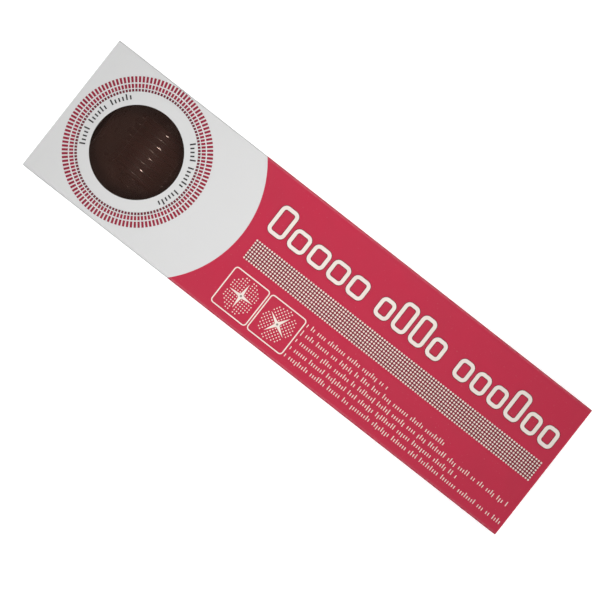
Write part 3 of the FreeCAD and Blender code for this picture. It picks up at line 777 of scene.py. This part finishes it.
def print_small_lines():
    """Five lines of small strokes beside the pictograms, and a longer block on the back."""
    chance = random.Random(5)
    pitch = 0.86
    first, left, top, step = 7.6, 9.3, -10.1, 2.9
    lines = []
    for index, right in enumerate((40.1, 65.5, 92.6, 73.9, 94.25)):
        foot = top - step * index
        lines += dashed_line(first, first + 0.1, foot, pitch, chance)[:1]
        lines += dashed_line(left, right, foot, pitch, chance)
    stamp("print_small_lines", lines, WHITE_INK, front, "carton")
    count, left, top, step = 10, -20, 14, 3.3
    lines = []
    for index in range(count):
        right = chance.uniform(40, 85)
        lines += dashed_line(left, right, top - step * index, pitch, chance)
    stamp("print_back_lines", lines, WHITE_INK, back, "carton")


# ---------------------------------------------------------------- CAD pieces kept as they are


def paint(node, material):
    """Give a kept CAD node its material."""
    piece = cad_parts[node]
    piece.data.materials.clear()
    piece.data.materials.append(material)


def paint_kept_nodes():
    looks = {
        "glue_flap": PLAIN,
        "window_film": FILM,
        "case_base": BLACK,
        "case_lid": SMOKE,
        "case_hinge_pins": STEEL,
        "axle_pin": STEEL,
        "needle_discs": STEEL,
        "drum_hub": DRUM,
        "spacer_rings": DRUM,
        "upper_drum_cap": DRUM,
        "lower_drum_cap": DRUM,
        "head_yoke": HANDLE,
        "handle_top_shell": HANDLE,
        "handle_bottom_shell": HANDLE,
        "end_cap": HANDLE,
        "handle_ring": ACCENT,
        "grip_inlay": RUBBER,
    }
    for node, material in looks.items():
        paint(node, material)


# ---------------------------------------------------------------- stage


def make_floor():
    """A pale floor, which the camera sees as white; its own glow doesn't light the carton."""
    camera_glow = 0.5
    mesh = bmesh.new()
    bmesh.ops.create_grid(mesh, x_segments=8, y_segments=8, size=3.0)
    data = bpy.data.meshes.new("floor")
    mesh.to_mesh(data)
    mesh.free()
    material, nodes, links = new_material("pale_floor")
    shader = add_node(nodes, "ShaderNodeBsdfPrincipled", Roughness=0.9)
    shader.inputs["Emission Color"].default_value = (1, 1, 1, 1)
    seen = nodes.new("ShaderNodeLightPath").outputs["Is Camera Ray"]
    glow = math_node(nodes, links, "MULTIPLY", seen, camera_glow)
    links.new(glow, shader.inputs["Emission Strength"])
    place = object_place(nodes)
    cloud = noise(nodes, links, place, 3, 2)
    colour = drift(nodes, links, cloud, (0.96, 0.96, 0.96, 1), (0.94, 0.94, 0.94, 1))
    links.new(colour, shader.inputs["Base Color"])
    finish_material(material, nodes, links, shader)
    data.materials.append(material)
    floor = make_object("floor", data)
    floor.location.z = -0.1 * MM


def hang_lamp(name, light, place, target):
    """Put a light in the scene, aimed at a target."""
    lamp = bpy.data.objects.new(name, light)
    lamp.location = place
    lamp.rotation_euler = (Vector(target) - Vector(place)).to_track_quat("-Z", "Y").to_euler()
    bpy.context.scene.collection.objects.link(lamp)


def make_light(name, place, size, power):
    """A square softbox aimed at the carton's middle."""
    light = bpy.data.lights.new(name, "AREA")
    light.shape = "SQUARE"
    light.size = size
    light.energy = power
    hang_lamp(name, light, place, (0, 0, 0))


def make_pool(name, place, radius, power, cone, target):
    """A soft spotlight whose pool is brightest in the middle; its cone is in degrees."""
    light = bpy.data.lights.new(name, "SPOT")
    light.shadow_soft_size = radius
    light.energy = power
    light.spot_size = math.radians(cone)
    light.spot_blend = 1.0
    hang_lamp(name, light, place, target)


def make_world():
    """Soft white light from all round, in front of a brighter backdrop."""
    surroundings, backdrop_strength = 0.17, 0.8
    world = bpy.data.worlds.new("studio")
    world.use_nodes = True
    nodes, links = world.node_tree.nodes, world.node_tree.links
    light = nodes["Background"]
    light.inputs["Color"].default_value = (1, 1, 1, 1)
    light.inputs["Strength"].default_value = surroundings
    backdrop = add_node(
        nodes, "ShaderNodeBackground", Color=(1, 1, 1, 1), Strength=backdrop_strength
    )
    seen = nodes.new("ShaderNodeLightPath").outputs["Is Camera Ray"]
    mix = nodes.new("ShaderNodeMixShader")
    links.new(seen, mix.inputs[0])
    links.new(light.outputs[0], mix.inputs[1])
    links.new(backdrop.outputs[0], mix.inputs[2])
    links.new(mix.outputs[0], nodes["World Output"].inputs[0])
    bpy.context.scene.world = world
    bpy.context.scene.view_settings.view_transform = "Standard"


def make_camera():
    """Straight above the carton, turned so that it lies from corner to corner."""
    turn = math.radians(38.08)
    middle_x, middle_y = 0.62, -4.54
    picture = 189.85 * MM
    lens = 540
    sensor = 36
    camera = bpy.data.cameras.new("camera")
    camera.lens = lens
    camera.sensor_width = sensor
    view = bpy.data.objects.new("camera", camera)
    distance = picture * lens / sensor
    view.location = (middle_x * MM, middle_y * MM, DEPTH * MM + distance)
    view.rotation_euler = (0, 0, turn)
    bpy.context.scene.collection.objects.link(view)
    bpy.context.scene.camera = view


# ---------------------------------------------------------------- the scene

# Lights are placed in metres and their power is in watts. Four softboxes light the carton,
# and two pools brighten its middle. The sparkles are two small lamps, which the flats between
# the needle discs' points mirror into the camera.
LAMP_HEIGHT = 1.25
SOFTBOX_OFFSET = 0.58
POOL_X = -0.013
POOL_Y = 0.85

make_camera()
make_world()
make_floor()
for light_x in (-1, 1):
    for light_y in (-1, 1):
        light_place = (SOFTBOX_OFFSET * light_x, SOFTBOX_OFFSET * light_y, LAMP_HEIGHT)
        make_light(f"softbox_{light_x}_{light_y}", light_place, size=0.6, power=3.3)
for pool_y in (-1, 1):
    light_place = (POOL_X, POOL_Y * pool_y, LAMP_HEIGHT)
    pool_middle = (POOL_X, 0, DEPTH * MM)
    make_pool(f"pool_{pool_y}", light_place, radius=0.12, power=38.5, cone=13.3, target=pool_middle)
make_light("sparkle", (0.066, 0.007, LAMP_HEIGHT), size=0.08, power=0.38)
make_light("low_sparkle", (-0.256, 0.007, LAMP_HEIGHT), size=0.08, power=0.07)

make_sleeve()
for end_name, end_side in (("window_end", -1), ("plain_end", 1)):
    make_lid(end_name, end_side)
    make_tongue(end_name, end_side)
    for flap_level, flap_way in (("upper", 1), ("lower", -1)):
        make_flap(end_name, end_side, flap_level, flap_way)
print_ticks()
print_window_dashes()
print_title()
print_dot_bands()
print_pictograms()
print_small_lines()
paint_kept_nodes()
